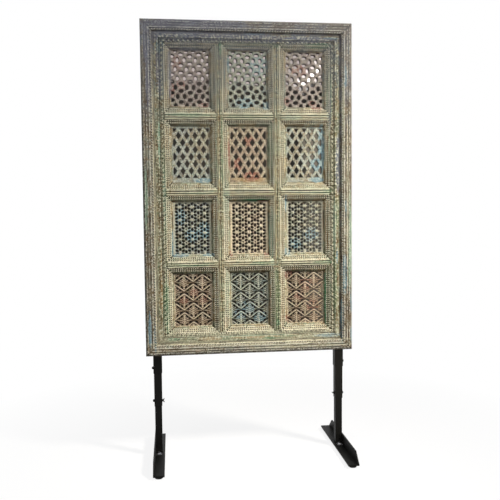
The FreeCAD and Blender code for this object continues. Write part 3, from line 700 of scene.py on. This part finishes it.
# The scallops along the bottom edge get a much darker copy of the wood: painted shade.
painted_shade_edge_wood = weathered_wood(
    "hardwood_painted_shade_edge", "#352c1f", "#5e553f", "#403c31", "#40424a", "#8f8a74", "#15120d", 0.1, -0.1, 0.9
)
edge_end, edge_depth, edge_rise, boss_pitch = 8, 4.4, 4, 12.4
edge_ends = (panel_left + edge_end, panel_right - edge_end)
low_edge = [(x, panel_front + edge_depth, panel_low + edge_rise) for x in edge_ends]
scallops = carving_row(
    "outer_edge_scallops", [(low_edge, False)],
    painted_shade_edge_wood, boss_pitch, (4.0, 2.8, 1.9), 0.3,
)
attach(scallops, "panel")
drops = carving_row(
    "border_drops", [loop(border_box, drop_inset, 15.0)],
    border_wood, drop_pitch, (3.6, 5.4, 2.3), 0.35,
)
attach(drops, "panel")


# Bars between the cells.
# Two upright bars run the whole height and short cross bars are let in between them. A cross bar has
# three reeds, an upright one two soft reeds with long pits between and a thin reed at each edge.
bar_width = 34
field_left, field_right, field_low, field_high = -473, 473, 734, 2371
cell_width = (field_right - field_left - 2 * bar_width) / 3
column_left = [field_left + column * (cell_width + bar_width) for column in range(3)]
cells_tall = field_high - field_low - 3 * bar_width
row_tall = [share * cells_tall for share in (0.2531, 0.2560, 0.2453, 0.2456)]
row_top = [field_high - sum(row_tall[:row]) - row * bar_width for row in range(4)]


bar_wood = weathered_wood(
    "hardwood_rubbed_green_milk_paint", "#7a6442", "#bbae84", "#848f70", "#62696c", "#e0dec2", "#272017",
    0.1, 0.14, 0.85
)


def cross_bar_line():
    points = [(-17, 18.4)]
    points += bumps(-17, -7, 1, 2.2, 16, 6)[1:]
    points += bumps(-7, 7, 1, 2.6, 15.8, 8)[1:]
    points += bumps(7, 17, 1, 2.2, 16, 6)[1:]
    return points


def upright_bar_line():
    points = [(-17, 19)] + bumps(-17, -13.5, 1, 2.4, 16, 4)[1:]
    points += [(across, 16.2) for across in np.linspace(-12.2, 12.2, 19)]
    return points + bumps(13.5, 17, 1, 2.4, 16, 4)


def worn_reeds(across, along):
    return 0.3 * soft_noise(across, along, 30, 21) + 0.3 * soft_noise(across * 2, along, 8, 22) - 0.5


def paired_reeds(across, along):
    """Two soft reeds up the upright bars, with a row of long pits cut between them."""
    valley = np.exp(-((across / 3.2) ** 2))
    wander = along + 4 * soft_noise(across * 0, along, 80, 23)
    pit = valley * (0.5 + 0.5 * np.cos(2 * math.pi * wander / 25)) ** 2
    twist = 0.5 + 0.5 * np.cos(2 * math.pi * (wander + 1.4 * across) / 12.5)
    inside = np.clip((12.5 - np.abs(across)) / 1.5, 0, 1)
    return worn_reeds(across, along) - inside * (0.7 * valley + 1.5 * pit + 0.35 * twist)


for column, name in ((0, "left"), (1, "right")):
    middle = column_left[column] + cell_width + bar_width / 2
    bar = run(
        "upright_bar_" + name, upright_bar_line(), lambda across: across * 0 + field_low,
        lambda across: across * 0 + field_high,
        lambda across, along: (middle + across, along), paired_reeds, 2.6, field_back,
    )
    bar.data.materials.append(bar_wood)
    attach(bar, "panel")
    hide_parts("mullion_" + name)
for row in range(3):
    parts = []
    middle = row_top[row] - row_tall[row] - bar_width / 2
    for start in column_left:
        parts.append(run(
            "cross_bars_" + str(row + 1), cross_bar_line(), lambda across: across * 0 + start,
            lambda across: across * 0 + start + cell_width, lambda across, along: (along, middle + across),
            worn_reeds, 4, field_back,
        ))
    with bpy.context.temp_override(active_object=parts[0], selected_editable_objects=parts):
        bpy.ops.object.join()
    parts[0].data.materials.append(bar_wood)
    parts[0].name = "cross_bars_row_" + str(row + 1)
    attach(parts[0], "panel")
    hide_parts("cross_rails_" + str(row + 1))


# Cell mouldings.
# Twelve rectangles of bevelled moulding, mitred round each lattice: a channel of slanting notches, a
# fillet, a channel of pearls, a slope with two scratched lines and a thin lip. Painted shade darkens
# the top sides, and less the right sides.
moulding_wood = weathered_wood(
    "hardwood_limed_moulding", "#7f6845", "#bfaf87", "#8a9276", "#656b70", "#e8e4cc", "#241d14", 0.1, 0.14,
    0.92
)
moulding_width = 38
notch_inset, pearl_inset = 6.9, 18.9


def moulding_line(width):
    """Steps of one bevel: a channel for notches, a fillet, a channel for pearls, a lined slope, a lip."""
    points = [(0, 19.6), (0.7, 18.6), (2.2, 18.9), (3.2, 20.9), (5, 21.4), (7, 21.8), (9, 22.2), (10.6, 22.6)]
    points += [
        (11.6, 20.9), (12.6, 21), (13.6, 21.6), (14.6, 24.4), (15.6, 25.6), (17.2, 26), (19, 26.2),
        (20.8, 26.4),
    ]
    points += [(22.2, 26.4), (23, 25.2), (23.8, 24.6)]
    slope = lambda across: 24.4 + 8.0 * (across - 23.6) / 13.4
    for across in (25.4, 26.2, 27, 29, 31, 32.2, 33, 33.8, 35.4, 37):
        points.append((across, slope(across) + (1.0 if across in (26.2, 33) else 0)))
    return points + [(37.5, 32.4), (38, 33), (38, 38)]


def moulding_relief(across, along):
    wave = 0.2 * soft_noise(across, along, 28, 31) + 0.14 * soft_noise(across * 2, along, 7, 32)
    return wave * (across < 37.4)


# Shares of painted shade for each row's top sides, and the part of it that the right sides take.
painted_shade_under = [0.12, 0.45, 0.6, 0.55]
painted_shade_beside_share = 0.55
pearl_loops = []
notch_loops = []
for row in range(4):
    for column in range(3):
        cell = (
            column_left[column], column_left[column] + cell_width, row_top[row] - row_tall[row],
            row_top[row],
        )
        painted_shade = {"top": painted_shade_under[row], "right": painted_shade_beside_share * painted_shade_under[row]}
        sides = []
        for side in ("left", "right", "bottom", "top"):
            sides.append(frame_side(
                "cell_moulding", side, cell, [moulding_width] * 4, moulding_line, moulding_relief, 6,
                field_back,
                painted_shade.get(side, 0.0),
            ))
        with bpy.context.temp_override(active_object=sides[0], selected_editable_objects=sides):
            bpy.ops.object.join()
        name = "r" + str(row + 1) + "c" + str(column + 1)
        sides[0].name = "sloping_moulding_" + name
        sides[0].data.materials.append(moulding_wood)
        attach(sides[0], "panel")
        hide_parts("cell_moulding_" + name)
        pearl_loops.append(loop(cell, pearl_inset, 26.4))
        notch_loops.append(loop(cell, notch_inset, 22))
for name, loops, boss, slant in (
    ("cell_pearls", pearl_loops, (4.3, 3.5, 3.0), 0.0),
    ("cell_notches", notch_loops, (3.0, 4.4, 2.5), 0.7),
):
    row_of_bosses = carving_row(name, loops, moulding_wood, boss_pitch, boss, slant)
    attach(row_of_bosses, "panel")


# Pierced lattices.
# Twelve thin boards with openings sawn right through and their faces carved: rounded strands,
# crossing bars, stars that rise to their middles, and a raised trellis with palmettes.
lattice_paints = {
    "maroon": ("#615249", "#92857a", "#7c6159", "#716568", "#c4bdb0", "#231c17"),
    "teal": ("#66614e", "#9d9a83", "#6c7e7b", "#5c676b", "#cccdba", "#26251f"),
    "pale_blue": ("#7d735b", "#b8ae93", "#99a097", "#8f9997", "#dcdcc8", "#25221a"),
    "salmon": ("#7a6b58", "#b3a68c", "#a48f7b", "#918579", "#dccfb2", "#282018"),
    "blue": ("#5c5a49", "#918d78", "#717b7c", "#76828a", "#c4c1ab", "#201d17"),
    "terracotta": ("#715e48", "#a8987e", "#987c67", "#918272", "#d8caae", "#34281c"),
}
lattice_rows = [
    ["maroon", "teal", "maroon"],
    ["pale_blue", "salmon", "pale_blue"],
    ["blue", "salmon", "blue"],
    ["terracotta", "teal", "terracotta"],
]
lattice_wood = {}
for paint, tints in lattice_paints.items():
    lattice_wood[paint] = weathered_wood("hardwood_worn_" + paint + "_paint", *tints, 0.14, 0.26, 0.92, 0.35)


def strand_relief(x, y, edge):
    """Strands rounded over from the openings' edges, with a line scratched along them."""
    rise = np.clip(edge / 7.5, 0, 1)
    line = np.exp(-(((edge - 7.4) / 1.0) ** 2))
    return 3.2 * np.sqrt(rise * (2 - rise)) - 2.4 - 0.8 * line


def mesh_relief(x, y, edge):
    """Crossing bars, crowned between the diamonds."""
    rise = np.clip(edge / 6, 0, 1)
    return 3.0 * np.sqrt(rise * (2 - rise)) - 2.2


def star_relief(x, y, edge):
    """Six-pointed stars that stand highest where the bars between the slots meet."""
    rise = np.clip(edge / 7, 0, 1)
    return 4.0 * rise**0.85 - 3.4


trellis_wide, trellis_tall, trellis_drop = 104.5, 109, 9.5


def trellis_relief(x, y, edge):
    """Bars that rise and fall in stacked waves, with a feathered palmette in each diamond."""
    p, q = x / trellis_wide, (y + trellis_drop) / trellis_tall
    i, j = np.floor(p + q) + 0.5, np.floor(p - q) + 0.5
    wide = np.abs((p - (i + j) / 2) * trellis_wide)
    above = (q - (i - j) / 2) * trellis_tall
    beyond = trellis_wide / 2 - wide
    top_bar = 46 - 0.755 * wide - 2.2 * np.exp(-((wide / 7) ** 2))
    low_bar = -8.5 - 0.74 * beyond + 1.6 * np.exp(-((beyond / 7) ** 2))
    near = np.minimum(np.abs(above - top_bar), np.abs(above - low_bar)) * 0.8
    bar = np.sqrt(np.clip(1 - (near / 3.4) ** 2, 0, 1))
    inside = (above < top_bar) & (above > low_bar)
    rise = above + 21
    curl = rise - 13 * np.sqrt(wide / 20) * np.clip(1.3 - wide / 40, 0.3, 1) - 0.25 * wide
    stroke = np.sqrt(np.clip(1 - (((curl / 11.5) % 1 - 0.5) / 0.37) ** 2, 0, 1))
    room = np.clip(np.minimum(top_bar - above, above - low_bar) / 7 - 0.75, 0, 1)
    stem = np.sqrt(np.clip(1 - (wide / 3) ** 2, 0, 1)) * (rise < 56)
    blade = np.maximum(stroke * (0.9 - 0.008 * wide), 0.95 * stem) * np.clip(2 * room, 0, 1)
    return np.where(inside, np.maximum(4.6 * blade - 4.2, 5.4 * bar - 4.2), np.maximum(5.4 * bar - 4.2, -3.4))


reliefs = [strand_relief, mesh_relief, star_relief, trellis_relief]
lattice_front = -29.0
crest_rubbed = [0.8, 0.9, 0.55, 0.55]


def at_front(y):
    """Whether a Y in metres lies on the boards' front face."""
    return abs(y * 1000 - lattice_front) < 0.01


def front_seen(board, x, z):
    """Whether a ray from the front meets the board's face, not an opening, at a place in millimetres."""
    hit = board.ray_cast(Vector((x / 1000, -0.5, z / 1000)), Vector((0, 1, 0)))[0]
    return bool(hit) and at_front(hit.y)


for row in range(4):
    grid_step = 1.8 if row == 3 else 2.2
    for column in range(3):
        name = "lattice_r" + str(row + 1) + "c" + str(column + 1)
        middle = Vector((column_left[column] + cell_width / 2, row_top[row] - row_tall[row] / 2))
        bm = bmesh.new()
        bm.from_mesh(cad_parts[name].data)
        bmesh.ops.remove_doubles(bm, verts=bm.verts, dist=1e-6)
        board = BVHTree.FromBMesh(bm)
        front = [face for face in bm.faces if all(at_front(v.co.y) for v in face.verts)]
        inside = set(front)
        rim = [edge for edge in bm.edges if sum(face in inside for face in edge.link_faces) == 1]
        rim_verts = list({v: None for edge in rim for v in edge.verts})
        order = {v: i for i, v in enumerate(rim_verts)}
        points = [Vector((v.co.x * 1000, v.co.z * 1000)) for v in rim_verts]
        marks = KDTree(3 * len(rim))
        count = 0
        for edge in rim:
            a, b = edge.verts
            for share in (0, 1 / 3, 2 / 3):
                spot = a.co.lerp(b.co, share) * 1000
                marks.insert((spot.x, spot.z, 0), count)
                count += 1
        marks.balance()
        left, right_edge = min(p.x for p in points), max(p.x for p in points)
        bottom, top = min(p.y for p in points), max(p.y for p in points)
        kept = []
        for x in np.arange(left + grid_step / 2, right_edge, grid_step):
            for z in np.arange(bottom + grid_step / 2, top, grid_step):
                if front_seen(board, x, z) and marks.find((x, z, 0))[2] > 0.55 * grid_step:
                    kept.append(Vector((x, z)))
        edges = [(order[edge.verts[0]], order[edge.verts[1]]) for edge in rim]
        flat, _, cut, _, _, _ = delaunay_2d_cdt(points + kept, edges, [], 0, 1e-6, True)
        assert len(flat) == len(points) + len(kept)
        place = np.array([(p.x, p.y) for p in flat])
        gap = np.array([marks.find((x, z, 0))[2] for x, z in place])
        gap[: len(points)] = 0
        rim_near = np.minimum(
            np.minimum(place[:, 0] - left, right_edge - place[:, 0]),
            np.minimum(place[:, 1] - bottom, top - place[:, 1]),
        )
        relief = reliefs[row](place[:, 0] - middle.x, place[:, 1] - middle.y, gap)
        relief = relief + 0.15 * soft_noise(place[:, 0], place[:, 1], 9, 41 + row)
        under_lip = np.clip((rim_near - 9) / 2.5, 0, 1)
        relief = relief * under_lip - 0.05
        solid = []
        for a, b, c in cut:
            centre = (flat[a] + flat[b] + flat[c]) / 3
            if front_seen(board, centre.x, centre.y):
                solid.append((a, b, c))
        bmesh.ops.delete(bm, geom=front, context="FACES_ONLY")
        fresh = []
        for spot, (x, z) in enumerate(place):
            y = (lattice_front - relief[spot]) / 1000
            if spot < len(rim_verts):
                rim_verts[spot].co.y = y
                fresh.append(rim_verts[spot])
            else:
                fresh.append(bm.verts.new((x / 1000, y, z / 1000)))
        for a, b, c in solid:
            corners = [fresh[a], fresh[b], fresh[c]]
            face = bm.faces.new(corners)
            face.normal_update()
            if face.normal.y > 0:
                face.normal_flip()
        bm.verts.index_update()
        coords = np.array([v.co[:] for v in bm.verts]) * 1000
        # Walls of the openings and the board's back take the lowest value and darken: painted shade. Over the
        # face, crests rub pale and the carved ground darkens with dust and painted shade.
        wear_and_shade = np.full(len(coords), -1.0)
        level_mean = relief.mean()
        for spot, vert in enumerate(fresh):
            risen = (relief[spot] - level_mean) / 1.9
            wear_and_shade[vert.index] = np.clip(risen, -1, 1) * (crest_rubbed[row] if risen > 0 else 1)
        faces = [[v.index for v in face.verts] for face in bm.faces]
        bm.free()
        piece = carve("carved_" + name, coords, faces, wear_and_shade, (coords[:, 2] / 1000, coords[:, 0] / 1000), 50)
        piece.data.materials.append(lattice_wood[lattice_rows[row][column]])
        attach(piece, "panel")
        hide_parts(name)


# Dark sheet behind the lattices.
# One thin sheet of dark glossy acrylic. It reflects the pale room faintly, so the openings look dark.
sheet_gloss, tree = blank_material("acrylic_dark_cast_gloss")
spot = add(tree, "ShaderNodeTexCoord")
haze = add(tree, "ShaderNodeTexNoise", {"Vector": spot.outputs["Object"], "Scale": 9, "Detail": 5})
dust = add(
    tree, "ShaderNodeMapRange",
    {"Value": haze.outputs["Fac"], "From Min": 0.35, "From Max": 0.75, "To Min": 0.015, "To Max": 0.04},
)
tone = add(
    tree, "ShaderNodeMix", {0: haze.outputs["Fac"], 6: linear("#15120f"), 7: linear("#2a2521")},
    data_type="RGBA",
)
wavy = add(tree, "ShaderNodeTexNoise", {"Vector": spot.outputs["Object"], "Scale": 14, "Detail": 1})
bend = add(tree, "ShaderNodeBump", {"Height": wavy.outputs["Fac"], "Strength": 0.5, "Distance": 0.0012})
skin = add(
    tree, "ShaderNodeBsdfPrincipled",
    {"Base Color": tone.outputs[2], "Roughness": dust.outputs[0], "Normal": bend.outputs[0], "IOR": 1.36},
)
add(tree, "ShaderNodeOutputMaterial", {"Surface": skin.outputs[0]})
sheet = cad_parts["back_sheet"]
sheet.data.materials.clear()
sheet.data.materials.append(sheet_gloss)


# Battens behind the sheet.
# Four rebated strips of plain softwood hold the sheet's edges, screwed to the border.
batten_pine, tree = blank_material("softwood_sawn_unpainted")
spot = add(tree, "ShaderNodeTexCoord")
rings = add(
    tree, "ShaderNodeTexNoise",
    {"Vector": spot.outputs["Object"], "Scale": 60, "Detail": 5, "Distortion": 0.4},
)
tone = add(
    tree, "ShaderNodeMix", {0: rings.outputs["Fac"], 6: linear("#6e5234"), 7: linear("#b08d62")},
    data_type="RGBA",
)
bump = add(tree, "ShaderNodeBump", {"Height": rings.outputs["Fac"], "Strength": 0.3, "Distance": 0.001})
skin = add(
    tree, "ShaderNodeBsdfPrincipled",
    {"Base Color": tone.outputs[2], "Roughness": 0.7, "Normal": bump.outputs[0]},
)
add(tree, "ShaderNodeOutputMaterial", {"Surface": skin.outputs[0]})
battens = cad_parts["sheet_battens"]
battens.data.materials.clear()
battens.data.materials.append(batten_pine)


# Black steel of the legs and feet.
# Square tube and angle iron under satin black paint with faint scuffs, bright zinc bolts and screws,
# and moulded black rubber glides.
black_paint, tree = blank_material("mild_steel_satin_black_paint")
spot = add(tree, "ShaderNodeTexCoord")
scuff = add(
    tree, "ShaderNodeTexNoise",
    {"Vector": spot.outputs["Object"], "Scale": 26, "Detail": 7, "Roughness": 0.7},
)
worn = add(tree, "ShaderNodeMapRange", {"Value": scuff.outputs["Fac"], "From Min": 0.52, "From Max": 0.75})
tone = add(
    tree, "ShaderNodeMix", {0: worn.outputs[0], 6: linear("#0a0a09"), 7: linear("#171614")},
    data_type="RGBA",
)
dull = add(tree, "ShaderNodeMapRange", {"Value": scuff.outputs["Fac"], "To Min": 0.35, "To Max": 0.6})
peel = add(tree, "ShaderNodeTexNoise", {"Vector": spot.outputs["Object"], "Scale": 420, "Detail": 2})
bump = add(tree, "ShaderNodeBump", {"Height": peel.outputs["Fac"], "Strength": 0.15, "Distance": 0.0006})
skin = add(
    tree, "ShaderNodeBsdfPrincipled",
    {
        "Base Color": tone.outputs[2], "Roughness": dull.outputs[0], "Normal": bump.outputs[0],
        "Specular IOR Level": 0.1,
    },
)
add(tree, "ShaderNodeOutputMaterial", {"Surface": skin.outputs[0]})

zinc, tree = blank_material("zinc_plate_bright")
spot = add(tree, "ShaderNodeTexCoord")
cloud = add(tree, "ShaderNodeTexNoise", {"Vector": spot.outputs["Object"], "Scale": 130, "Detail": 4})
tone = add(
    tree, "ShaderNodeMix", {0: cloud.outputs["Fac"], 6: linear("#8f9298"), 7: linear("#c9cbd0")},
    data_type="RGBA",
)
dull = add(tree, "ShaderNodeMapRange", {"Value": cloud.outputs["Fac"], "To Min": 0.25, "To Max": 0.45})
skin = add(
    tree, "ShaderNodeBsdfPrincipled",
    {"Base Color": tone.outputs[2], "Roughness": dull.outputs[0], "Metallic": 1.0},
)
add(tree, "ShaderNodeOutputMaterial", {"Surface": skin.outputs[0]})

rubber, tree = blank_material("rubber_moulded_black")
spot = add(tree, "ShaderNodeTexCoord")
dust = add(tree, "ShaderNodeTexNoise", {"Vector": spot.outputs["Object"], "Scale": 90, "Detail": 5})
tone = add(
    tree, "ShaderNodeMix", {0: dust.outputs["Fac"], 6: linear("#0f0f0e"), 7: linear("#24231f")},
    data_type="RGBA",
)
skin = add(
    tree, "ShaderNodeBsdfPrincipled",
    {"Base Color": tone.outputs[2], "Roughness": 0.75, "Specular IOR Level": 0.2},
)
add(tree, "ShaderNodeOutputMaterial", {"Surface": skin.outputs[0]})

for name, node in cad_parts.items():
    if name.startswith(("sleeve_", "mounting_", "middle_", "wing_", "post_", "foot_angle")):
        finish = black_paint
    elif name.startswith(("plate_screws", "batten_screws", "foot_bolt")):
        finish = zinc
    elif name.startswith("glides"):
        finish = rubber
    else:
        continue
    node.data.materials.clear()
    node.data.materials.append(finish)
